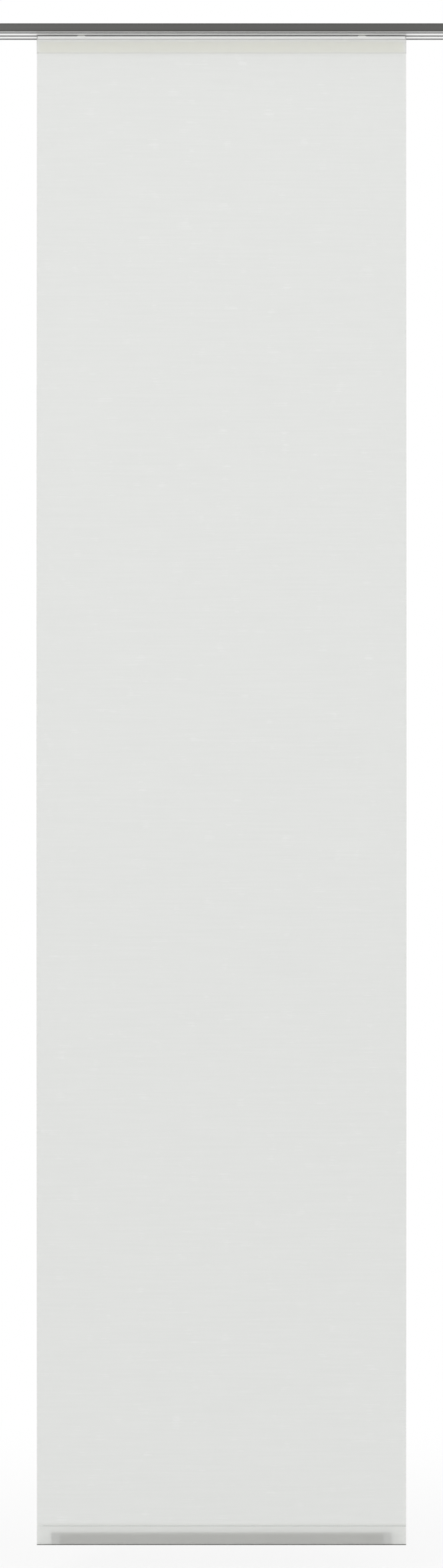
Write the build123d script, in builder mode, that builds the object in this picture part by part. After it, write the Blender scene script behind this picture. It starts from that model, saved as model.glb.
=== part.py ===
from build123d import *
import os

# Panel curtain: one cloth panel hung from a carriage that rolls in a three-run ceiling rail.
# X runs along the rail, -Y is the room side and +Z is up. The origin lies on the ceiling, over the
# middle of the rail and its middle run. Sizes are in millimetres.

# Rail, an extrusion with three runs side by side
rail_length = 1200.0
run_count = 3
run_pitch = 16.0
slot_width = 5.0
side_room = 5.2  # from the middle of an outer run to the rail's outer wall
outer_wall = 1.0
inner_wall = 1.2
web = 1.2
flange = 1.3
channel_height = 6.9
recess_depth = 3.6
lip_width = 3.0
lip_thickness = 1.0
ceiling_gap = 0.5
bead_offset = 3.6  # from a run's middle to the middle of the track bead that its wheels roll on
bead_width = 1.4
bead_height = 0.4
rail_corner = 0.4

# Front fascia and the rib on the rail that it snaps over
fascia_depth = 2.1
fascia_wall = 0.8
fascia_gap = 0.1
jaw_wall = 0.7
rib_stem_depth = 0.7
rib_stem_height = 1.6
rib_head_depth = 0.6
rib_head_height = 3.2

# End caps of the rail
rail_cap_plate = 2.0
plug_length = 8.0
plug_wall = 0.9
plug_gap = 0.1

# Ceiling clips, bent from spring steel
clip_inset = 100.0  # from the rail's end to the middle of an outer clip
clip_width = 24.0
clip_steel = 1.0
clip_bend = 0.2  # inside radius
clip_seat_gap = 0.05
clip_side_gap = 1.2
clip_toe_reach = 1.8
clip_toe_drop = 0.9
clip_hole_radius = 2.25

# End stops and their set screws
stop_inset = 55.5  # from the rail's end to the stop's outer face
stop_length = 12.0
stop_height = 5.0
stop_slot_gap = 0.3
stop_recess = 0.3
set_screw_radius = 1.45
set_screw_gap = 0.05
set_screw_socket = 0.75  # half of the hexagon's width across its flats
set_screw_socket_depth = 1.5
set_screw_point = 0.8

# Carriage profile and its end caps
carriage_inset = 1.0  # from the cloth's side edge to the profile's end
carriage_drop = 2.0
carriage_height = 27.5
carriage_wall = 1.2
groove_width = 7.6
groove_height = 3.4
groove_mouth = 4.8
foot_return = 3.4
carriage_cap_plate = 1.5
carriage_plug_length = 6.0
carriage_plug_gap = 0.1

# Gliders, their axles and wheels
glider_inset = 70.5  # from the profile's end to the glider's middle
glider_length = 11.0
neck_width = 4.2
glider_foot_length = 14.0
glider_foot_gap = 0.2
collar_width = 7.0
collar_height = 1.1
collar_gap = 0.1
glider_head_room = 0.9  # from the glider's top to the underside of the web
axle_radius = 0.8
axle_head_radius = 1.3
axle_head = 0.4
wheel_radius = 3.0
wheel_width = 2.2
wheel_edge = 0.3
wheel_hub_radius = 1.5
wheel_hub = 0.25
wheel_groove = 0.5
wheel_side_gap = 0.05
wheel_bore_gap = 0.05
wheel_track_gap = 0.05

# Hook tape on the carriage and loop tape on the cloth
tape_seat = 0.2
tape_seat_drop = 10.1  # from the carriage's top to the seat
hook_tape_inset = 3.0  # from the profile's end to the tape's
hook_tape_height = 16.0
hook_tape_thickness = 1.2
loop_tape_height = 23.8
loop_tape_thickness = 0.9

# Cloth panel and its bottom pocket
panel_width = 600.0
panel_height = 2450.0
header_drop = 6.5  # from the carriage's top to the cloth's top edge
cloth = 0.45
pocket_height = 31.0
pocket_room = 0.2
seam_allowance = 4.0

# Weight bar and its sleeve caps
bar_inset = 25.0  # from the cloth's side edge to the bar's end
bar_height = 19.0
bar_thickness = 3.5
bar_cap_wall = 0.8
bar_cap_sleeve = 12.0
bar_cap_end = 2.0
bar_cap_gap = 0.05

# Heights and places that follow from the sizes above
rail_top = -ceiling_gap
web_top = rail_top - recess_depth
channel_top = web_top - web
flange_top = channel_top - channel_height
rail_bottom = flange_top - flange
rail_height = rail_top - rail_bottom
bead_top = flange_top + bead_height
channel_half = (run_count - 1) / 2 * run_pitch + side_room
rail_half = channel_half + outer_wall
rail_end = rail_length / 2
clip_place = rail_end - clip_inset
stop_inside = rail_end - stop_inset - stop_length

carriage_top = rail_bottom - carriage_drop
groove_half = groove_width / 2 + carriage_wall
groove_top = carriage_top - carriage_wall
groove_floor = groove_top - groove_height
groove_bottom = groove_floor - carriage_wall
carriage_front = -groove_half
carriage_bottom = carriage_top - carriage_height
panel_edge = panel_width / 2
carriage_end = panel_edge - carriage_inset
hook_tape_end = carriage_end - hook_tape_inset
glider_place = carriage_end - glider_inset

header_top = carriage_top - header_drop
tape_top = carriage_top - tape_seat_drop
hook_back = carriage_front + tape_seat
hook_front = hook_back - hook_tape_thickness
loop_front = hook_front - loop_tape_thickness
cloth_front = loop_front - cloth
cloth_bottom = header_top - panel_height
seam = cloth_bottom + pocket_height

bar_end = panel_edge - bar_inset
bar_cap_half = bar_thickness / 2 + bar_cap_gap + bar_cap_wall
pocket_half = bar_cap_half + pocket_room
pocket_mid = loop_front - cloth / 2
bar_middle = cloth_bottom + cloth + pocket_room + bar_cap_wall + bar_cap_gap + bar_height / 2

wheel_middle = bead_top + wheel_track_gap + wheel_radius
wheel_inside = neck_width / 2 + wheel_side_gap
wheel_outside = wheel_inside + wheel_hub + wheel_width

os.makedirs("parts", exist_ok=True)


# Rail: the walls, web and flanges of the extrusion, with a slot under each run, track beads beside
# the slots, a recess on top whose lips take the ceiling clips, and the fascia's rib on the front
rib_middle = (rail_top + rail_bottom) / 2

with BuildPart() as rail:
    with BuildSketch(Plane.YZ.offset(-rail_end)) as section:
        with Locations((0, rail_bottom)):
            Rectangle(2 * rail_half, rail_height, align=(Align.CENTER, Align.MIN))
        fillet(section.vertices(), radius=rail_corner)
        with Locations((0, web_top)):
            Rectangle(
                2 * (channel_half - lip_width),
                recess_depth,
                align=(Align.CENTER, Align.MIN),
                mode=Mode.SUBTRACT,
            )
            Rectangle(
                2 * channel_half,
                recess_depth - lip_thickness,
                align=(Align.CENTER, Align.MIN),
                mode=Mode.SUBTRACT,
            )
        with Locations((0, flange_top)):
            Rectangle(
                2 * channel_half,
                channel_height,
                align=(Align.CENTER, Align.MIN),
                mode=Mode.SUBTRACT,
            )
            with GridLocations(run_pitch, 1, run_count - 1, 1):
                Rectangle(inner_wall, channel_height, align=(Align.CENTER, Align.MIN))
        with Locations((0, rail_bottom)):
            with GridLocations(run_pitch, 1, run_count, 1):
                Rectangle(
                    slot_width,
                    flange,
                    align=(Align.CENTER, Align.MIN),
                    mode=Mode.SUBTRACT,
                )
        with Locations((0, flange_top)):
            with GridLocations(run_pitch, 1, run_count, 1):
                with GridLocations(2 * bead_offset, 1, 2, 1):
                    Rectangle(bead_width, bead_height, align=(Align.CENTER, Align.MIN))
        with Locations((-rail_half, rib_middle)):
            Rectangle(rib_stem_depth, rib_stem_height, align=(Align.MAX, Align.CENTER))
        with Locations((-rail_half - rib_stem_depth, rib_middle)):
            Rectangle(rib_head_depth, rib_head_height, align=(Align.MAX, Align.CENTER))
    extrude(amount=rail_length)

rail.part.label = "rail"
export_step(rail.part, "parts/rail.step")


# Front fascia: a shallow channel section whose two barbed jaws snap over the rail's rib
fascia_back = -rail_half - fascia_gap
jaw_inside = rib_head_height / 2 + fascia_gap
barb_depth = rib_stem_depth - 2 * fascia_gap
barb_inside = rib_stem_height / 2 + fascia_gap

with BuildPart() as front_fascia:
    with BuildSketch(Plane.YZ.offset(-rail_end)) as section:
        with Locations((fascia_back, rib_middle)):
            Rectangle(fascia_depth, rail_height, align=(Align.MAX, Align.CENTER))
        fillet(section.vertices().group_by(Axis.X)[0], radius=rail_corner)
        with Locations((fascia_back, rib_middle)):
            Rectangle(
                fascia_depth - fascia_wall,
                rail_height - 2 * fascia_wall,
                align=(Align.MAX, Align.CENTER),
                mode=Mode.SUBTRACT,
            )
        for side in (1, -1):
            inner = Align.MIN if side > 0 else Align.MAX
            with Locations((fascia_back, rib_middle + side * jaw_inside)):
                Rectangle(fascia_depth, jaw_wall, align=(Align.MAX, inner))
            with Locations((fascia_back, rib_middle + side * barb_inside)):
                Rectangle(barb_depth, jaw_inside - barb_inside, align=(Align.MAX, inner))
    extrude(amount=rail_length)

front_fascia.part.label = "front_fascia"
export_step(front_fascia.part, "parts/front_fascia.step")


# Rail end cap: a moulded plate over the ends of the rail and fascia, with a hollow plug in each run
plug_floor = bead_top + plug_gap
plug_height = channel_top - plug_gap - plug_floor
plug_width = 2 * (side_room - plug_gap)

with BuildPart() as rail_cap_right:
    with BuildSketch(Plane.YZ.offset(rail_end)):
        with Locations((fascia_back - fascia_depth, rail_bottom)):
            Rectangle(
                rail_half - fascia_back + fascia_depth,
                rail_height,
                align=(Align.MIN, Align.MIN),
            )
    extrude(amount=rail_cap_plate)
    outer_rim = rail_cap_right.faces().sort_by(Axis.X)[-1].edges()
    fillet(outer_rim, radius=rail_cap_plate / 2)
    with BuildSketch(Plane.YZ.offset(rail_end)):
        with Locations((0, plug_floor)):
            with GridLocations(run_pitch, 1, run_count, 1):
                Rectangle(plug_width, plug_height, align=(Align.CENTER, Align.MIN))
        with Locations((0, plug_floor + plug_wall)):
            with GridLocations(run_pitch, 1, run_count, 1):
                Rectangle(
                    plug_width - 2 * plug_wall,
                    plug_height - 2 * plug_wall,
                    align=(Align.CENTER, Align.MIN),
                    mode=Mode.SUBTRACT,
                )
    extrude(amount=-plug_length)

rail_cap_right.part.label = "rail_cap_right"
export_step(rail_cap_right.part, "parts/rail_cap_right.step")


# Ceiling clips: spring steel strips that are screwed to the ceiling and hook under the rail's lips.
# The screws belong to the building, so each clip only has the hole.
clip_top = -clip_steel / 2
clip_arm = channel_half - lip_width - clip_side_gap
clip_foot = rail_top - lip_thickness - clip_seat_gap - clip_steel / 2
clip_knee = channel_half - clip_toe_reach

for node, place in {"left": -clip_place, "middle": 0, "right": clip_place}.items():
    with BuildPart() as ceiling_clip:
        with BuildSketch(Plane.YZ.offset(place - clip_width / 2)):
            with BuildLine():
                FilletPolyline(
                    (-clip_knee - clip_toe_drop, clip_foot - clip_toe_drop),
                    (-clip_knee, clip_foot),
                    (-clip_arm, clip_foot),
                    (-clip_arm, clip_top),
                    (clip_arm, clip_top),
                    (clip_arm, clip_foot),
                    (clip_knee, clip_foot),
                    (clip_knee + clip_toe_drop, clip_foot - clip_toe_drop),
                    radius=clip_bend + clip_steel / 2,
                )
            trace(line_width=clip_steel)
        extrude(amount=clip_width)
        with Locations((place, 0, 0)):
            Hole(radius=clip_hole_radius, depth=clip_steel)
    ceiling_clip.part.label = f"ceiling_clip_{node}"
    export_step(ceiling_clip.part, f"parts/ceiling_clip_{node}.step")


# End stop: a moulded block clamped in the middle run, where it ends the panel's travel
stop_middle = stop_inside + stop_length / 2
stop_floor = rail_bottom + stop_recess

with BuildPart() as end_stop_right:
    with BuildSketch(Plane.YZ.offset(stop_inside)):
        with Locations((0, bead_top)):
            Rectangle(plug_width, stop_height, align=(Align.CENTER, Align.MIN))
        with Locations((0, stop_floor)):
            Rectangle(
                slot_width - 2 * stop_slot_gap,
                bead_top - stop_floor,
                align=(Align.CENTER, Align.MIN),
            )
    extrude(amount=stop_length)
    upright = end_stop_right.edges().filter_by(Axis.Z).filter_by(lambda e: e.length > stop_height / 2)
    fillet(upright, radius=plug_wall)
    with BuildSketch(Plane.XY.offset(stop_floor)):
        with Locations((stop_middle, 0)):
            Circle(set_screw_radius + set_screw_gap)
    extrude(amount=bead_top + stop_height - stop_floor, mode=Mode.SUBTRACT)

end_stop_right.part.label = "end_stop_right"
export_step(end_stop_right.part, "parts/end_stop_right.step")


# Set screw: it goes up through the stop and bears on the web, with its hexagon socket below
with BuildPart() as stop_screw_right:
    with BuildSketch(Plane.XY.offset(stop_floor)):
        with Locations((stop_middle, 0)):
            Circle(set_screw_radius)
    extrude(amount=channel_top - stop_floor)
    point = stop_screw_right.faces().sort_by(Axis.Z)[-1].edges()
    chamfer(point, length=set_screw_point)
    with BuildSketch(Plane.XY.offset(stop_floor)):
        with Locations((stop_middle, 0)):
            RegularPolygon(radius=set_screw_socket, side_count=6, major_radius=False)
    extrude(amount=set_screw_socket_depth, mode=Mode.SUBTRACT)

stop_screw_right.part.label = "stop_screw_right"
export_step(stop_screw_right.part, "parts/stop_screw_right.step")


# Carriage profile: an extrusion with a grooved head for the gliders, a plate below it whose
# shallow front seat takes the hook tape, and a foot that returns to stiffen it
with BuildPart() as carriage_profile:
    with BuildSketch(Plane.YZ.offset(-carriage_end)) as section:
        with Locations((0, groove_bottom)):
            Rectangle(
                2 * groove_half,
                carriage_top - groove_bottom,
                align=(Align.CENTER, Align.MIN),
            )
        with Locations((carriage_front, carriage_bottom)):
            Rectangle(carriage_wall, carriage_height, align=(Align.MIN, Align.MIN))
            Rectangle(
                carriage_wall + foot_return, carriage_wall, align=(Align.MIN, Align.MIN)
            )
        fillet(section.vertices().group_by(Axis.Y)[0], radius=rail_corner)
        with Locations((0, groove_floor)):
            Rectangle(
                groove_width,
                groove_height,
                align=(Align.CENTER, Align.MIN),
                mode=Mode.SUBTRACT,
            )
            Rectangle(
                groove_mouth,
                carriage_top - groove_floor,
                align=(Align.CENTER, Align.MIN),
                mode=Mode.SUBTRACT,
            )
        with Locations((carriage_front, tape_top)):
            Rectangle(
                tape_seat,
                hook_tape_height,
                align=(Align.MIN, Align.MAX),
                mode=Mode.SUBTRACT,
            )
    extrude(amount=2 * carriage_end)

carriage_profile.part.label = "carriage_profile"
export_step(carriage_profile.part, "parts/carriage_profile.step")


# Carriage end cap: a moulded plate in the outline of the profile, with a plug in its groove
with BuildPart() as carriage_cap_right:
    with BuildSketch(Plane.YZ.offset(carriage_end)) as section:
        with Locations((0, groove_bottom)):
            Rectangle(
                2 * groove_half,
                carriage_top - groove_bottom,
                align=(Align.CENTER, Align.MIN),
            )
        with Locations((carriage_front, carriage_bottom)):
            Rectangle(
                carriage_wall + foot_return, carriage_height, align=(Align.MIN, Align.MIN)
            )
        fillet(section.vertices(), radius=carriage_wall / 2)
    extrude(amount=carriage_cap_plate)
    with BuildSketch(Plane.YZ.offset(carriage_end)):
        with Locations((0, groove_floor + carriage_plug_gap)):
            Rectangle(
                groove_width - 2 * carriage_plug_gap,
                groove_height - 2 * carriage_plug_gap,
                align=(Align.CENTER, Align.MIN),
            )
    extrude(amount=-carriage_plug_length)

carriage_cap_right.part.label = "carriage_cap_right"
export_step(carriage_cap_right.part, "parts/carriage_cap_right.step")


# Glider: a moulded foot in the carriage's groove, a collar over its mouth, and a neck that rises
# through the rail's slot to carry the axle
foot_bottom = groove_floor + glider_foot_gap
foot_height = groove_height - 2 * glider_foot_gap
glider_top = channel_top - glider_head_room

with BuildPart() as glider_right:
    with BuildSketch(Plane.XY.offset(foot_bottom)):
        with Locations((glider_place, 0)):
            RectangleRounded(
                glider_foot_length, groove_width - 2 * glider_foot_gap, neck_width / 4
            )
    extrude(amount=foot_height)
    with BuildSketch(Plane.XY.offset(carriage_top + collar_gap)):
        with Locations((glider_place, 0)):
            RectangleRounded(glider_foot_length, collar_width, collar_width / 4)
    extrude(amount=collar_height)
    with BuildSketch(Plane.XY.offset(foot_bottom)):
        with Locations((glider_place, 0)):
            RectangleRounded(glider_length, neck_width, neck_width / 4)
    extrude(amount=glider_top - foot_bottom)
    crown = glider_right.faces().sort_by(Axis.Z)[-1].edges()
    chamfer(crown, length=neck_width / 8)
    with BuildSketch(Plane.XZ.offset(-neck_width)):
        with Locations((glider_place, wheel_middle)):
            Circle(axle_radius)
    extrude(amount=2 * neck_width, mode=Mode.SUBTRACT)

glider_right.part.label = "glider_right"
export_step(glider_right.part, "parts/glider_right.step")


# Axle: a steel pin pressed through the glider's neck, with a head outside each wheel
axle_shank_end = wheel_outside + wheel_side_gap
axle_end = axle_shank_end + axle_head

with BuildPart() as axle_right:
    with BuildSketch(Plane.XY.offset(wheel_middle)):
        with BuildLine():
            Polyline(
                (glider_place, -axle_end),
                (glider_place + axle_head_radius, -axle_end),
                (glider_place + axle_head_radius, -axle_shank_end),
                (glider_place + axle_radius, -axle_shank_end),
                (glider_place + axle_radius, axle_shank_end),
                (glider_place + axle_head_radius, axle_shank_end),
                (glider_place + axle_head_radius, axle_end),
                (glider_place, axle_end),
                close=True,
            )
        make_face()
    revolve(axis=Axis((glider_place, 0, wheel_middle), (0, 1, 0)))

axle_right.part.label = "axle_right"
export_step(axle_right.part, "parts/axle_right.step")


# Wheels: each turns on its axle beside the neck, with a hub that keeps its rim off the glider and
# a groove in its outer face
def wheel_section(place, side):
    """The half section of one wheel, drawn on its middle height."""
    rim_inside = side * (wheel_inside + wheel_hub)
    rim_outside = side * wheel_outside
    bore = place + axle_radius + wheel_bore_gap
    Polyline(
        (bore, side * wheel_inside),
        (place + wheel_hub_radius, side * wheel_inside),
        (place + wheel_hub_radius, rim_inside),
        (place + wheel_radius - wheel_edge, rim_inside),
        (place + wheel_radius, rim_inside + side * wheel_edge),
        (place + wheel_radius, rim_outside - side * wheel_edge),
        (place + wheel_radius - wheel_edge, rim_outside),
        (place + wheel_radius - 2 * wheel_edge, rim_outside),
        (place + wheel_radius - 2 * wheel_edge, rim_outside - side * wheel_groove),
        (place + wheel_hub_radius, rim_outside - side * wheel_groove),
        (place + wheel_hub_radius, rim_outside),
        (bore, rim_outside),
        close=True,
    )


for end, place in {"left": -glider_place, "right": glider_place}.items():
    for face, side in {"front": -1, "back": 1}.items():
        with BuildPart() as wheel:
            with BuildSketch(Plane.XY.offset(wheel_middle)):
                with BuildLine():
                    wheel_section(place, side)
                make_face()
            revolve(axis=Axis((place, 0, wheel_middle), (0, 1, 0)))
        wheel.part.label = f"wheel_{end}_{face}"
        export_step(wheel.part, f"parts/wheel_{end}_{face}.step")


# Hook tape: a strip stuck in the seat on the carriage's front, a little short of its ends
with BuildPart() as hook_tape:
    with BuildSketch(Plane.YZ.offset(-hook_tape_end)):
        with Locations((hook_back, tape_top)):
            Rectangle(
                hook_tape_thickness, hook_tape_height, align=(Align.MAX, Align.MAX)
            )
    extrude(amount=2 * hook_tape_end)

hook_tape.part.label = "hook_tape"
export_step(hook_tape.part, "parts/hook_tape.step")


# Loop tape: sewn along the top of the cloth's back, and pressed on the hook tape
with BuildPart() as loop_tape:
    with BuildSketch(Plane.YZ.offset(-panel_edge)):
        with Locations((hook_front, header_top)):
            Rectangle(
                loop_tape_thickness, loop_tape_height, align=(Align.MAX, Align.MAX)
            )
    extrude(amount=panel_width)

loop_tape.part.label = "loop_tape"
export_step(loop_tape.part, "parts/loop_tape.step")


# Cloth panel: the flat sheet, from its top edge on the loop tape down to the pocket's seam
with BuildPart() as fabric_panel:
    with BuildSketch(Plane.YZ.offset(-panel_edge)):
        with Locations((cloth_front, header_top)):
            Rectangle(cloth, header_top - seam, align=(Align.MIN, Align.MAX))
    extrude(amount=panel_width)

fabric_panel.part.label = "fabric_panel"
export_step(fabric_panel.part, "parts/fabric_panel.step")


# Hem pocket: below the seam the same cloth goes on down, turns back round the weight bar and is
# sewn to itself, with its edge left standing behind the sheet
belly = bar_middle + bar_height / 2 - bar_thickness / 2
heel = bar_middle - bar_height / 2 + bar_thickness / 2


def pocket_outline(half, top_front, top_back):
    """A drop shape round the bar, from the seam down one face and up the other."""
    Polyline(
        (top_back, seam),
        (pocket_mid + half, belly),
        (pocket_mid + half, heel),
    )
    ThreePointArc(
        (pocket_mid + half, heel), (pocket_mid, heel - half), (pocket_mid - half, heel)
    )
    Polyline(
        (pocket_mid - half, heel),
        (pocket_mid - half, belly),
        (top_front, seam),
    )
    Line((top_front, seam), (top_back, seam))


with BuildPart() as hem_pocket:
    with BuildSketch(Plane.YZ.offset(-panel_edge)):
        with BuildLine():
            pocket_outline(pocket_half + cloth, cloth_front, loop_front + cloth)
        make_face()
        with BuildLine():
            pocket_outline(pocket_half, loop_front - cloth / 4, loop_front + cloth / 4)
        make_face(mode=Mode.SUBTRACT)
        with Locations((loop_front, seam)):
            Rectangle(cloth, seam_allowance, align=(Align.MIN, Align.MIN))
    extrude(amount=panel_width)

hem_pocket.part.label = "hem_pocket"
export_step(hem_pocket.part, "parts/hem_pocket.step")


# Weight bar: a flat aluminium bar with rounded edges, loose in the pocket
with BuildPart() as weight_bar:
    with BuildSketch(Plane.YZ.offset(-bar_end)):
        with Locations((pocket_mid, bar_middle)):
            SlotOverall(bar_height, bar_thickness, rotation=90)
    extrude(amount=2 * bar_end)

weight_bar.part.label = "weight_bar"
export_step(weight_bar.part, "parts/weight_bar.step")


# Bar cap: a moulded sleeve over the end of the bar, so that it can't cut the cloth
with BuildPart() as bar_cap_right:
    with BuildSketch(Plane.YZ.offset(bar_end + bar_cap_end)):
        with Locations((pocket_mid, bar_middle)):
            SlotOverall(
                bar_height + 2 * (bar_cap_gap + bar_cap_wall),
                bar_thickness + 2 * (bar_cap_gap + bar_cap_wall),
                rotation=90,
            )
    extrude(amount=-bar_cap_end - bar_cap_sleeve)
    nose = bar_cap_right.faces().sort_by(Axis.X)[-1].edges()
    chamfer(nose, length=bar_cap_end / 2)
    with BuildSketch(Plane.YZ.offset(bar_end)):
        with Locations((pocket_mid, bar_middle)):
            SlotOverall(
                bar_height + 2 * bar_cap_gap, bar_thickness + 2 * bar_cap_gap, rotation=90
            )
    extrude(amount=-bar_cap_sleeve, mode=Mode.SUBTRACT)

bar_cap_right.part.label = "bar_cap_right"
export_step(bar_cap_right.part, "parts/bar_cap_right.step")


# The left pieces are the right ones mirrored across the middle of the rail
pairs = {
    "rail_cap": rail_cap_right,
    "end_stop": end_stop_right,
    "stop_screw": stop_screw_right,
    "carriage_cap": carriage_cap_right,
    "glider": glider_right,
    "axle": axle_right,
    "bar_cap": bar_cap_right,
}
for node, right in pairs.items():
    with BuildPart() as left:
        mirror(right.part, about=Plane.YZ)
    left.part.label = f"{node}_left"
    export_step(left.part, f"parts/{node}_left.step")
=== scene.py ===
import bmesh
import bpy
import math
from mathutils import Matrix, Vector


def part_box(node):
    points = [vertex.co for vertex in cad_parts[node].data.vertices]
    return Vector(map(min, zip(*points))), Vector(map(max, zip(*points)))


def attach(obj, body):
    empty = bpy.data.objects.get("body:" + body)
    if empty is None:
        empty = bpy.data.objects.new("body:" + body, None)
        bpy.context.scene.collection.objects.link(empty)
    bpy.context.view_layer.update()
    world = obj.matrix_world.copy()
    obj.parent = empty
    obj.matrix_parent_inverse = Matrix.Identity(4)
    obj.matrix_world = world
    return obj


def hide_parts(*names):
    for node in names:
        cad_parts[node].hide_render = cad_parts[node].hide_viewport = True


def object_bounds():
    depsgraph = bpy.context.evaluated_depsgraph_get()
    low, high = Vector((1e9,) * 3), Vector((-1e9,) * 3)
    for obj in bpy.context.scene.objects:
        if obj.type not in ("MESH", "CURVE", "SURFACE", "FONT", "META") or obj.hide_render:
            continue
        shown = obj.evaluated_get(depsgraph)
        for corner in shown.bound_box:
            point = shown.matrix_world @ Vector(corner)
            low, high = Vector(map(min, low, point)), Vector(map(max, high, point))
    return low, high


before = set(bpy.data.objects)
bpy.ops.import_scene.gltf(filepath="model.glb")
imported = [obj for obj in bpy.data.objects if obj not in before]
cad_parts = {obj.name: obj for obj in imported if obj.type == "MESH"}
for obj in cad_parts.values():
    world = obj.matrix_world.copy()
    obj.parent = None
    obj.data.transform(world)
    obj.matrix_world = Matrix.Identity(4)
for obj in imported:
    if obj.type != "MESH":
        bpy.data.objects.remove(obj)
cad_low, cad_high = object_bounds()


# Rail: a white powder-coated aluminium extrusion with three runs side by side, cut to length.
# The coat is smooth and half glossy, with the faint orange peel that baked powder has. Inside the runs
# and their slots it has no coat, and its colour is painted near black as painted shade.
class Value:
    """One output of a node, so that shader maths is written as plain sums."""

    def __init__(self, nodes, socket):
        self.nodes = nodes
        self.socket = socket

    def maths(self, operation, *parts):
        return self.nodes.node("ShaderNodeMath", {"operation": operation}, dict(enumerate(parts)))

    def __add__(self, other):
        return self.maths("ADD", self, other)

    def __sub__(self, other):
        return self.maths("SUBTRACT", self, other)

    def __rsub__(self, other):
        return self.maths("SUBTRACT", other, self)

    def __mul__(self, other):
        return self.maths("MULTIPLY", self, other)

    def __gt__(self, other):
        return self.maths("GREATER_THAN", self, other)

    def __lt__(self, other):
        return self.maths("LESS_THAN", self, other)

    def __abs__(self):
        return self.maths("ABSOLUTE", self)

    def sine(self):
        return self.maths("SINE", self)

    def larger(self, other):
        return self.maths("MAXIMUM", self, other)

    __radd__ = __add__
    __rmul__ = __mul__


class Nodes:
    """A tree of shader nodes that ends in one output. One method adds any kind of node."""

    def __init__(self, tree, output):
        self.tree = tree
        self.surface = tree.nodes[output].inputs["Surface"]

    def node(self, kind, settings, sockets, output=0):
        made = self.tree.nodes.new(kind)
        for name, setting in settings.items():
            if name == "stops":
                for stop, (position, colour) in zip(made.color_ramp.elements, setting):
                    stop.position = position
                    stop.color = (*colour, 1)
            else:
                setattr(made, name, setting)
        for name, part in sockets.items():
            if isinstance(part, Value):
                self.tree.links.new(part.socket, made.inputs[name])
            else:
                made.inputs[name].default_value = part
        return Value(self, made.outputs[output])

    def show(self, shader):
        self.tree.links.new(shader.socket, self.surface)


class Finish(Nodes):
    """A material round one shader. Numbers that never vary are set on the shader's own sockets."""

    def __init__(self, name, **steady):
        self.material = bpy.data.materials.new(name)
        self.material.use_nodes = True
        super().__init__(self.material.node_tree, "Material Output")
        self.shader = self.tree.nodes["Principled BSDF"]
        for socket, number in steady.items():
            self.shader.inputs[socket.replace("_", " ").title().replace("Ior", "IOR")].default_value = number
        self.face = Value(self, self.shader.outputs[0])
        self.place = self.node("ShaderNodeTexCoord", {}, {}, "Object")

    def link(self, value, socket):
        self.tree.links.new(value.socket, self.shader.inputs[socket])

    def axis(self, name, place=None):
        return self.node("ShaderNodeSeparateXYZ", {}, {"Vector": place or self.place}, name)

    def noise(self, scale, detail=2.0, place=None):
        stretched = self.node("ShaderNodeMapping", {}, {"Vector": place or self.place, "Scale": scale})
        return self.node("ShaderNodeTexNoise", {}, {"Vector": stretched, "Scale": 1.0, "Detail": detail})

    def tints(self, amount, low, high):
        return self.node("ShaderNodeValToRGB", {"stops": [(0.3, low), (0.7, high)]}, {"Fac": amount})

    def mix(self, share, first, second):
        return self.node("ShaderNodeMix", {"data_type": "RGBA"}, {"Factor": share, 6: first, 7: second}, 2)

    def bump(self, height, depth):
        raised = self.node("ShaderNodeBump", {}, {"Height": height, "Distance": depth, "Strength": 1.0})
        self.link(raised, "Normal")


def dress(finish, *names):
    """Puts a finish on CAD nodes."""
    for name in names:
        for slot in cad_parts[name].material_slots:
            slot.material = finish.material


coat = Finish("white_powder_coat", coat_roughness=0.08, coat_ior=1.75)
run_floor, run_ceiling, run_side = -0.0134, -0.00525, 0.0213
up_rail = coat.axis("Z")
inside = (up_rail > run_floor) * (up_rail < run_ceiling) * (abs(coat.axis("Y")) < run_side)
powder_low, powder_high = (0.935, 0.936, 0.926), (0.965, 0.965, 0.954)
powder = coat.tints(coat.noise((30, 30, 30)), powder_low, powder_high)
# Painted shade: near black inside the runs and slots.
runs_painted_shade = coat.tints(coat.noise((8, 1600, 1600)), (0.012, 0.012, 0.011), (0.025, 0.025, 0.023))
coat.link(coat.mix(inside, powder, runs_painted_shade), "Base Color")
coat.link(coat.noise((260, 260, 260)) * 0.12 + 0.26 + inside * 0.3, "Roughness")
coat.link(1 - inside, "Coat Weight")
coat.bump(coat.noise((900, 900, 900), detail=3.0), depth=0.000012)
dress(coat, "rail")


# Front fascia: a thin dark grey anodised aluminium channel that snaps over the rail's rib.
# It is brushed along its length before it is anodised, so its grain runs with the rail. Its colour is
# painted a little darker along its upper and lower edges, as painted shade.
anodised = Finish("grey_anodised", metallic=0.85)
grain = anodised.noise((6, 5200, 5200), detail=4.0)
brushed = anodised.tints(grain, (0.092, 0.092, 0.088), (0.113, 0.113, 0.109))
fascia_low, fascia_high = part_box("front_fascia")
fascia_middle, fascia_height = (fascia_low.z + fascia_high.z) / 2, fascia_high.z - fascia_low.z
off_middle = (anodised.axis("Z") - fascia_middle) * (2 / fascia_height)
off_squared = off_middle * off_middle
edge_painted_shade = off_squared * off_squared
# Painted shade: darker towards the upper and lower edges.
anodised.link(anodised.mix(edge_painted_shade * 0.5, brushed, (0.02, 0.02, 0.018, 1)), "Base Color")
anodised.link(grain * 0.16 + 0.3, "Roughness")
anodised.bump(grain, depth=0.000006)
dress(anodised, "front_fascia")


# Rail end caps and end stops: injection-moulded white plastic with a fine satin spark texture.
# The caps push into the runs, and the stops are clamped in the middle run by their screws.
moulded = Finish("white_moulding")
spark = moulded.noise((1500, 1500, 1500))
melt = moulded.tints(moulded.noise((60, 60, 60)), (0.825, 0.825, 0.803), (0.855, 0.855, 0.836))
moulded.link(melt, "Base Color")
moulded.link(spark * 0.14 + 0.4, "Roughness")
moulded.bump(spark, depth=0.000010)
dress(moulded, "rail_cap_left", "rail_cap_right", "end_stop_left", "end_stop_right")


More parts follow.
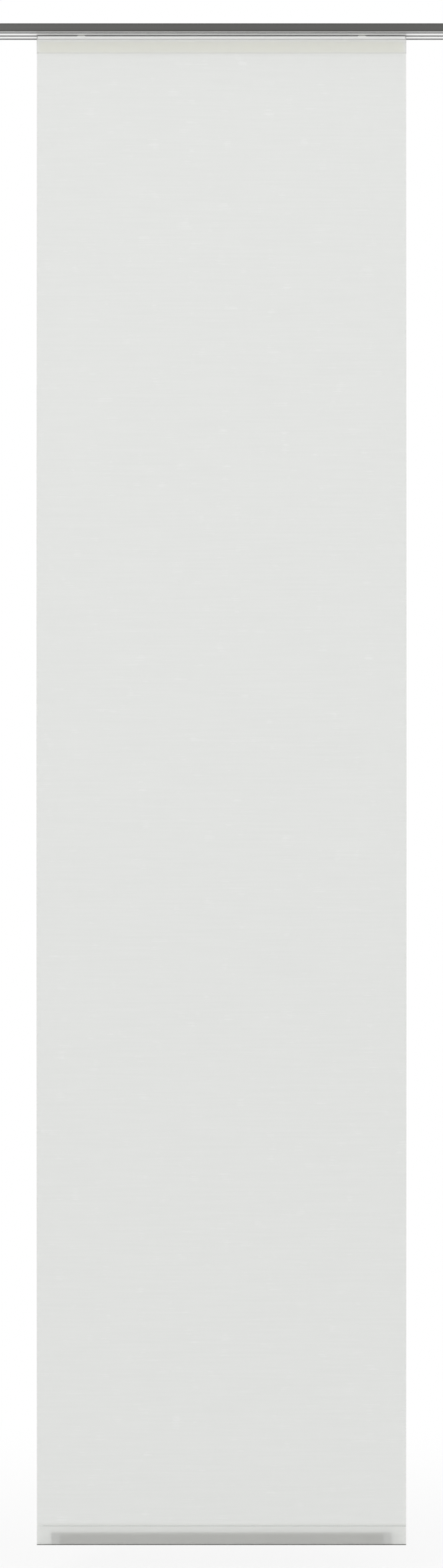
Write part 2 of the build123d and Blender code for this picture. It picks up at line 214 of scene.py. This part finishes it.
# Ceiling clips, stop screws and axles: bright zinc-plated steel, bent, turned or drawn.
# The clips hook under the rail's lips, and the axles are pressed through the gliders' necks.
zinc = Finish("bright_zinc", metallic=1.0)
bloom = zinc.noise((420, 420, 420), detail=4.0)
zinc.link(zinc.tints(bloom, (0.50, 0.505, 0.52), (0.60, 0.60, 0.60)), "Base Color")
zinc.link(bloom * 0.2 + 0.24, "Roughness")
zinc.bump(zinc.noise((2400, 2400, 2400)), depth=0.000005)
dress(
    zinc, "ceiling_clip_left", "ceiling_clip_middle", "ceiling_clip_right",
    "stop_screw_left", "stop_screw_right", "axle_left", "axle_right",
)


# Carriage: the white aluminium profile that the cloth hangs from, with light grey moulded caps
# pushed on its ends. Its coat is the rail's, with faint lines from the die along its length, and a
# thin band of painted shade along its front, where the head meets the plate.
carriage_coat = Finish("white_carriage_coat", coat_weight=1.0, coat_roughness=0.1)
die_lines = carriage_coat.noise((4, 1800, 1800), detail=3.0)
clean = carriage_coat.tints(die_lines, powder_low, powder_high)
groove_place, groove_half = -0.0202, 0.0005
groove_painted_shade = abs(carriage_coat.axis("Z") - groove_place) < groove_half
# Painted shade: a thin dark band along the front where the head meets the plate.
carriage_coat.link(carriage_coat.mix(groove_painted_shade * 0.75, clean, (0.12, 0.12, 0.115, 1)), "Base Color")
carriage_coat.link(die_lines * 0.1 + 0.27, "Roughness")
carriage_coat.bump(die_lines, depth=0.000006)
dress(carriage_coat, "carriage_profile")

grey_moulded = Finish("grey_moulding")
grey_spark = grey_moulded.noise((1500, 1500, 1500))
grey_moulded.link(grey_moulded.tints(grey_spark, (0.43, 0.43, 0.42), (0.47, 0.47, 0.46)), "Base Color")
grey_moulded.link(grey_spark * 0.14 + 0.42, "Roughness")
grey_moulded.bump(grey_spark, depth=0.000010)
dress(grey_moulded, "carriage_cap_left", "carriage_cap_right")


# Gliders and wheels: slippery natural plastic that needs no oil. The gliders' feet slide into the
# carriage's groove, and a wheel turns at each side of each neck, on the beads beside the slot.
slippery = Finish("natural_plastic")
flow = slippery.noise((700, 700, 700), detail=3.0)
slippery.link(slippery.tints(flow, (0.80, 0.795, 0.75), (0.86, 0.86, 0.825)), "Base Color")
slippery.link(flow * 0.12 + 0.3, "Roughness")
slippery.bump(slippery.noise((2600, 2600, 2600)), depth=0.000006)
dress(
    slippery, "glider_left", "glider_right",
    "wheel_left_front", "wheel_left_back", "wheel_right_front", "wheel_right_back",
)


# Weight bar and its caps: a flat mill-finish aluminium bar that keeps the cloth straight, with a
# moulded sleeve on each end so that it can't cut the pocket.
mill = Finish("mill_aluminium", metallic=0.9)
drawn = mill.noise((5, 2600, 2600), detail=4.0)
mill.link(mill.tints(drawn, (0.225, 0.22, 0.178), (0.265, 0.26, 0.212)), "Base Color")
mill.link(drawn * 0.18 + 0.34, "Roughness")
mill.bump(drawn, depth=0.000008)
dress(mill, "weight_bar")
dress(grey_moulded, "bar_cap_left", "bar_cap_right")


# Hook tape: a woven cream band with a field of stiff hooks, stuck in the seat on the carriage.
# Its plain selvedges stay low on each side of the field.
squarely = 0.9


def strip(name, low, high, field_inset, field_depth, toward_room):
    """A band of webbing with softened long edges and its working field raised off one face."""
    bpy.ops.object.select_all(action="DESELECT")
    middle = [(a + b) / 2 for a, b in zip(low, high)]
    bpy.ops.mesh.primitive_cube_add(size=1, location=middle, scale=[b - a for a, b in zip(low, high)])
    band = bpy.context.active_object
    band.name = name
    bpy.ops.object.transform_apply(location=True, rotation=True, scale=True)
    facing = -1 if toward_room else 1
    bpy.ops.object.mode_set(mode="EDIT")
    bpy.ops.mesh.select_mode(type="FACE")
    shape = bmesh.from_edit_mesh(band.data)
    for face in shape.faces:
        face.select = face.normal.y * facing > squarely
    bmesh.update_edit_mesh(band.data)
    bpy.ops.mesh.inset(thickness=field_inset, depth=0)
    bpy.ops.transform.translate(value=(0, facing * field_depth, 0))
    bpy.ops.object.mode_set(mode="OBJECT")
    softened_share = 0.45
    soften = band.modifiers.new("softened_edges", "BEVEL")
    soften.width = field_depth * softened_share
    soften.segments = 2
    soften.limit_method = "ANGLE"
    bpy.ops.object.modifier_apply(modifier=soften.name)
    return band


hook_low, hook_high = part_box("hook_tape")
seat_gap = 0.00003
hook_field = 0.0005
hook_band = strip(
    "hook_band",
    (hook_low.x, hook_low.y + seat_gap + hook_field, hook_low.z),
    (hook_high.x, hook_high.y - seat_gap, hook_high.z),
    field_inset=0.0012, field_depth=hook_field, toward_room=True,
)

cream = Finish("cream_hook_weave")
hook_pitch = 0.0013
hooks = cream.node(
    "ShaderNodeTexVoronoi", {"feature": "F1"},
    {"Vector": cream.place, "Scale": 1 / hook_pitch, "Randomness": 0.35}, "Distance",
)
cream.link(cream.tints(hooks, (0.90, 0.87, 0.56), (0.80, 0.77, 0.46)), "Base Color")
cream.link(hooks * 0.2 + 0.6, "Roughness")
cream.bump(1 - hooks, depth=0.00025)
hook_band.data.materials.append(cream.material)
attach(hook_band, "hanging_panel")
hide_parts("hook_tape")


# Loop tape: a thin white woven band with a brushed pile on its back, sewn along the cloth's top.
# Light passes through its ground weave; over the hook tape its colour is painted cream as painted light.
loop_low, loop_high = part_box("loop_tape")
pile = 0.0004
loop_band = strip(
    "loop_band",
    (loop_low.x, loop_low.y + seat_gap, loop_low.z),
    (loop_high.x, loop_high.y - seat_gap - pile, loop_high.z),
    field_inset=0.0016, field_depth=pile, toward_room=False,
)


class Sheer(Finish):
    """A finish for thin cloth: part of the light is scattered back, part through, and the rest passes."""

    def weave(self, colour, scattered_through, solid):
        through = self.node("ShaderNodeBsdfTranslucent", {}, {"Color": (*colour, 1)})
        clear = self.node("ShaderNodeBsdfTransparent", {}, {})
        body = self.node("ShaderNodeMixShader", {}, {"Fac": scattered_through, 1: self.face, 2: through})
        self.show(self.node("ShaderNodeMixShader", {}, {"Fac": solid, 1: clear, 2: body}))


loop_weave = Sheer("white_loop_weave")
fuzz = loop_weave.noise((1400, 1400, 1400), detail=3.0)
sideways, upward = loop_weave.axis("X"), loop_weave.axis("Z")
on_hooks = (abs(sideways) < hook_high.x) * (upward < hook_high.z) * (upward > hook_low.z)
white_ground = loop_weave.tints(fuzz, (0.94, 0.94, 0.89), (0.97, 0.97, 0.92))
# Painted light: cream where the tape lies on the hooks, for the hooks seen through it.
painted_hook_show_through = loop_weave.tints(fuzz, (0.855, 0.845, 0.49), (0.885, 0.873, 0.54))
loop_weave.link(loop_weave.mix(on_hooks, white_ground, painted_hook_show_through), "Base Color")
loop_weave.weave((0.93, 0.93, 0.87), scattered_through=0.15, solid=0.95 - on_hooks * 0.15)
loop_weave.link(fuzz * 0.15 + 0.78, "Roughness")
loop_weave.bump(fuzz, depth=0.0001)
loop_band.data.materials.append(loop_weave.material)
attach(loop_band, "hanging_panel")
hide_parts("loop_tape")


# Cloth: one length of fine plain-weave voile with cut sides. It hangs flat from the loop tape, and
# at the bottom it is turned back round the weight bar and sewn to itself, with its edge behind.
# Painted light makes it lighter on the tape and where it lies double; painted shade darkens its seams and
# bottom fold.
sheet_low, sheet_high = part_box("fabric_panel")
pocket_low, pocket_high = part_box("hem_pocket")
cloth_width = sheet_high.x - sheet_low.x
cloth_thickness = sheet_high.y - sheet_low.y
cloth_middle = (sheet_low.y + sheet_high.y) / 2
seam = sheet_low.z
hanging = sheet_high.z - seam
allowance = pocket_high.z - seam
pocket_half = cloth_middle - pocket_low.y - cloth_thickness / 2
pocket_front, pocket_back = cloth_middle - pocket_half, cloth_middle + pocket_half
belly_rise, layer_spacing = 0.0155, 1.04
heel_depth = pocket_low.z + cloth_thickness / 2 + pocket_half
belly_depth = heel_depth + belly_rise
back_layer = cloth_middle + cloth_thickness * layer_spacing


def straight(start, end, steps):
    """The (y, z) points of a straight stretch of the cloth's course, without its last one."""
    return [tuple(a + (b - a) * k / steps for a, b in zip(start, end)) for k in range(steps)]


drop_steps, slope_steps, side_steps, heel_steps, edge_steps = 200, 6, 5, 12, 2
turned_edge = (back_layer, seam + allowance)
course = straight((cloth_middle, sheet_high.z), (cloth_middle, seam), drop_steps)
course += straight((cloth_middle, seam), (pocket_front, belly_depth), slope_steps)
course += straight((pocket_front, belly_depth), (pocket_front, heel_depth), side_steps)
course += [
    (
        cloth_middle - pocket_half * math.cos(math.pi * k / heel_steps),
        heel_depth - pocket_half * math.sin(math.pi * k / heel_steps),
    )
    for k in range(heel_steps)
]
course += straight((pocket_back, heel_depth), (pocket_back, belly_depth), side_steps)
course += straight((pocket_back, belly_depth), (back_layer, seam), slope_steps)
course += straight((back_layer, seam), turned_edge, edge_steps)
course.append(turned_edge)

length_to = [0.0]
for (y0, z0), (y1, z1) in zip(course, course[1:]):
    length_to.append(length_to[-1] + math.hypot(y1 - y0, z1 - z0))


def swell(across_share, length_down):
    """Two slow waves across the cloth, which wander as they go down. Together they reach 1."""
    wide = math.sin(9.4 * across_share + 1.1 + 0.9 * math.sin(2.3 * length_down))
    narrow = math.sin(21.0 * across_share - 1.7 * length_down + 0.4)
    return wide * 0.6 + narrow * 0.4


columns, last_row = 100, len(course) - 1
bpy.ops.object.select_all(action="DESELECT")
bpy.ops.mesh.primitive_grid_add(x_subdivisions=columns, y_subdivisions=last_row, size=2, calc_uvs=True)
cloth = bpy.context.active_object
cloth.name = "cloth"

ripple, side_curl, curl_reach, side_bow = 0.0011, 0.0007, 0.010, 0.0009
uv_span = 2.5
flat_place = {}
for corner in cloth.data.vertices:
    across_share = (corner.co.x + 1) / 2
    k = round((1 - corner.co.y) / 2 * last_row)
    y, z = course[k]
    length_down = length_to[k]
    x = (across_share - 0.5) * cloth_width
    free = math.sin(math.pi * (length_down / hanging)) if length_down < hanging else 0.0
    from_side = min(across_share, 1 - across_share) * cloth_width
    waves = ripple * swell(across_share, length_down) + side_curl * math.exp(-from_side / curl_reach)
    flat_place[corner.index] = ((x + cloth_width / 2) / uv_span, length_down / uv_span)
    corner.co = (x + 2 * (across_share - 0.5) * side_bow * free, y + free * waves, z)
for loop in cloth.data.loops:
    cloth.data.uv_layers[0].data[loop.index].uv = flat_place[loop.vertex_index]

skin_share = 0.9
skin = cloth_thickness * skin_share
thick = cloth.modifiers.new("thickness", "SOLIDIFY")
thick.thickness = skin
thick.offset = 0
bpy.ops.object.modifier_apply(modifier=thick.name)
bpy.ops.object.shade_smooth_by_angle(angle=math.radians(50))

voile = Sheer("white_voile")
flat = voile.node("ShaderNodeTexCoord", {}, {}, "UV")
flat = voile.node("ShaderNodeVectorMath", {"operation": "SCALE"}, {"Vector": flat, "Scale": uv_span})
along, down = voile.axis("X", flat), voile.axis("Y", flat)
thread_pitch = 0.00042
turns = 2 * math.pi / thread_pitch
threads = (along * turns).sine() * (down * turns).sine()
uneven = voile.noise((9, 260, 1), detail=3.0, place=flat)
slub_band = voile.noise((14, 900, 1), detail=2.0, place=flat)
slub_place = voile.noise((38, 38, 1), detail=1.0, place=flat)
slub = (slub_band * slub_place) > 0.40
body_tone = voile.tints(uneven, (0.812, 0.823, 0.806), (0.842, 0.852, 0.835))

# Zones by their length down from the cloth's top edge. The fold's painted shade ends at the lowest line.
tape_width = loop_high.z - loop_low.z
on_tape = down < tape_width
doubled = down > (hanging - allowance)
# Painted light: lighter on the tape and where the cloth lies double.
slubs_and_painted_light = voile.mix(slub * 0.5 + on_tape * 0.85 + doubled * 0.98, body_tone, (0.965, 0.97, 0.96, 1))

hem_stitch_rise, tape_stitch_rise, hem_stitch_start = 0.0002, 0.0026, 0.009
fold_length = length_to[drop_steps + slope_steps + side_steps + heel_steps // 2]
fold_lead, fold_half, seam_half = 0.0019, 0.0018, 0.0005
in_fold = abs(down - (fold_length - fold_lead)) < fold_half
in_hem_seam = (abs(down - (hanging - hem_stitch_rise)) < seam_half) * (along > hem_stitch_start)
in_tape_seam = abs(down - (tape_width - tape_stitch_rise)) < seam_half
# Painted shade: darker at the bottom fold and along the two seams.
shade = in_fold * 0.95 + in_hem_seam * 0.5 + in_tape_seam * 0.28
voile.link(voile.mix(shade, slubs_and_painted_light, (0.10, 0.105, 0.09, 1)), "Base Color")
voile.weave(
    (0.81, 0.82, 0.80),
    scattered_through=0.36 - on_tape * 0.14 + doubled * 0.16 - in_fold * 0.35,
    solid=0.58 + in_fold * 0.3,
)
voile.link(uneven * 0.1 + 0.75, "Roughness")
voile.bump(threads * 0.5 + slub, depth=0.00004)
cloth.data.materials.append(voile.material)
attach(cloth, "hanging_panel")
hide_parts("fabric_panel", "hem_pocket")


# Stitching: lockstitch rows in white polyester thread. Two in front and one behind hold the loop tape
# to the cloth, and one closes the pocket and shows on the cloth's front and back.
def stitch_row(name, first, last, face, height):
    """One row of stitches lying on a face: one small spindle-shaped stitch, repeated by its pitch."""
    pitch, length, thickness = 0.0032, 0.0026, 0.00034
    tip_share, tip_width = 0.2, 0.35
    bpy.ops.object.select_all(action="DESELECT")
    bpy.ops.mesh.primitive_cylinder_add(
        vertices=6, radius=thickness / 2, depth=length * (1 - 2 * tip_share), end_fill_type="NGON",
        location=(first + length / 2, face, height), rotation=(0, math.pi / 2, 0),
    )
    row = bpy.context.active_object
    row.name = name
    bpy.ops.object.transform_apply(location=True, rotation=True, scale=True)
    bpy.ops.object.mode_set(mode="EDIT")
    bpy.ops.mesh.select_mode(type="FACE")
    for side in (-1, 1):
        shape = bmesh.from_edit_mesh(row.data)
        for end in shape.faces:
            end.select = end.normal.x * side > squarely
        bmesh.update_edit_mesh(row.data)
        tip = (side * length * tip_share, 0, 0)
        bpy.ops.mesh.extrude_region_move(TRANSFORM_OT_translate={"value": tip})
        bpy.ops.transform.resize(value=(1, tip_width, tip_width), center_override=(first, face, height))
    bpy.ops.object.mode_set(mode="OBJECT")
    repeat = row.modifiers.new("along_the_row", "ARRAY")
    repeat.use_relative_offset = False
    repeat.use_constant_offset = True
    repeat.constant_offset_displace = (pitch, 0, 0)
    repeat.count = int((last - first) / pitch)
    bpy.ops.object.modifier_apply(modifier=repeat.name)
    bpy.ops.object.shade_smooth_by_angle(angle=math.radians(60))
    row.data.materials.append(thread.material)
    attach(row, "hanging_panel")
    return row


thread = Finish("white_thread")
ply = thread.noise((5200, 2600, 2600))
thread.link(thread.tints(ply, (0.70, 0.71, 0.69), (0.78, 0.79, 0.77)), "Base Color")
thread.link(ply * 0.15 + 0.52, "Roughness")
thread.bump(ply, depth=0.00002)
edge, front_face, back_face = cloth_width / 2, cloth_middle - skin / 2, back_layer + skin / 2
tape_stitch_inset, hem_stitch_end, top_stitch_drop, back_stitch_rise = 0.003, 0.001, 0.0013, 0.0008
tape_row = (tape_stitch_inset - edge, edge - tape_stitch_inset)
hem_row = (hem_stitch_start - edge, edge - hem_stitch_end)
rows = [
    stitch_row("header_stitch_top", *tape_row, front_face, loop_high.z - top_stitch_drop),
    stitch_row("header_stitch_low", *tape_row, front_face, loop_low.z + tape_stitch_rise),
    stitch_row("header_stitch_back", *tape_row, loop_high.y - pile, loop_low.z + back_stitch_rise),
    stitch_row("hem_stitch_front", *hem_row, front_face, seam + hem_stitch_rise),
    stitch_row("hem_stitch_back", *hem_row, back_face, seam + hem_stitch_rise),
]


# Floor, light and camera. A pale studio floor lies just under the hem and fades to white all round.
# Two large soft lamps stand before the curtain, and the room's white walls light it all round.
def looked_at(nodes):
    """1 on rays that show a thing, straight, in a gloss or through glass, and 0 on those that light it."""
    straight_ray, gloss_ray, glass_ray = (
        nodes.node("ShaderNodeLightPath", {}, {}, kind)
        for kind in ("Is Camera Ray", "Is Glossy Ray", "Is Transmission Ray")
    )
    return straight_ray.larger(gloss_ray).larger(glass_ray)


floor_drop, floor_span, floor_back = 0.06, 60, 20
bpy.ops.object.select_all(action="DESELECT")
bpy.ops.mesh.primitive_plane_add(size=floor_span, location=(0, floor_back, cad_low.z - floor_drop))
floor = bpy.context.active_object
floor.name = "floor"
bpy.ops.object.transform_apply(location=True, rotation=True, scale=True)
pale = Finish("pale_floor", base_color=(0.89, 0.89, 0.89, 1), roughness=0.9)
glow = pale.node("ShaderNodeEmission", {}, {})
near_share, fade_start, fade_end, half_length = 0.72, 0.0, 0.95, 0.5
away = abs(pale.axis("Y")).larger(abs(pale.axis("X")) - half_length)
fade = pale.node(
    "ShaderNodeMapRange", {"interpolation_type": "SMOOTHSTEP"},
    {"Value": away, "From Min": fade_start, "From Max": fade_end, "To Min": near_share, "To Max": 1.0},
)
pale.show(pale.node("ShaderNodeMixShader", {}, {"Fac": looked_at(pale) * fade, 1: pale.face, 2: glow}))
floor.data.materials.append(pale.material)

world = bpy.data.worlds.new("white_room")
bpy.context.scene.world = world
world.use_nodes = True
room = Nodes(world.node_tree, "World Output")
ambient = room.tree.nodes["Background"]
ambient.inputs["Color"].default_value = (1, 1, 1, 1)
ambient.inputs["Strength"].default_value = 0.82
walls = Value(room, ambient.outputs[0])
white = room.node("ShaderNodeBackground", {}, {"Color": (1, 1, 1, 1), "Strength": 1.0})
room.show(room.node("ShaderNodeMixShader", {}, {"Fac": looked_at(room), 1: walls, 2: white}))

for name, place, power in (("left_lamp", (-2.3, -3.6, 0.7), 44), ("right_lamp", (2.5, -3.5, 0.5), 28)):
    lamp = bpy.data.lights.new(name, "AREA")
    lamp.shape = "RECTANGLE"
    lamp.size, lamp.size_y = 1.6, 2.4
    lamp.energy = power
    stand = bpy.data.objects.new(name, lamp)
    bpy.context.collection.objects.link(stand)
    stand.location = place
    aim = stand.location - (cad_low + cad_high) / 2
    stand.rotation_mode = "QUATERNION"
    stand.rotation_quaternion = aim.to_track_quat("Z", "Y")

sensor_width, focal_length, eye_distance, eye_height = 36, 53.985, 3.8344, -1.2332
camera = bpy.data.cameras.new("camera")
camera.sensor_width = sensor_width
camera.lens = focal_length
viewer = bpy.data.objects.new("camera", camera)
bpy.context.collection.objects.link(viewer)
viewer.location = (0, -eye_distance, eye_height)
viewer.rotation_euler = (math.pi / 2, 0, 0)
bpy.context.scene.camera = viewer
bpy.context.scene.view_settings.view_transform = "Standard"
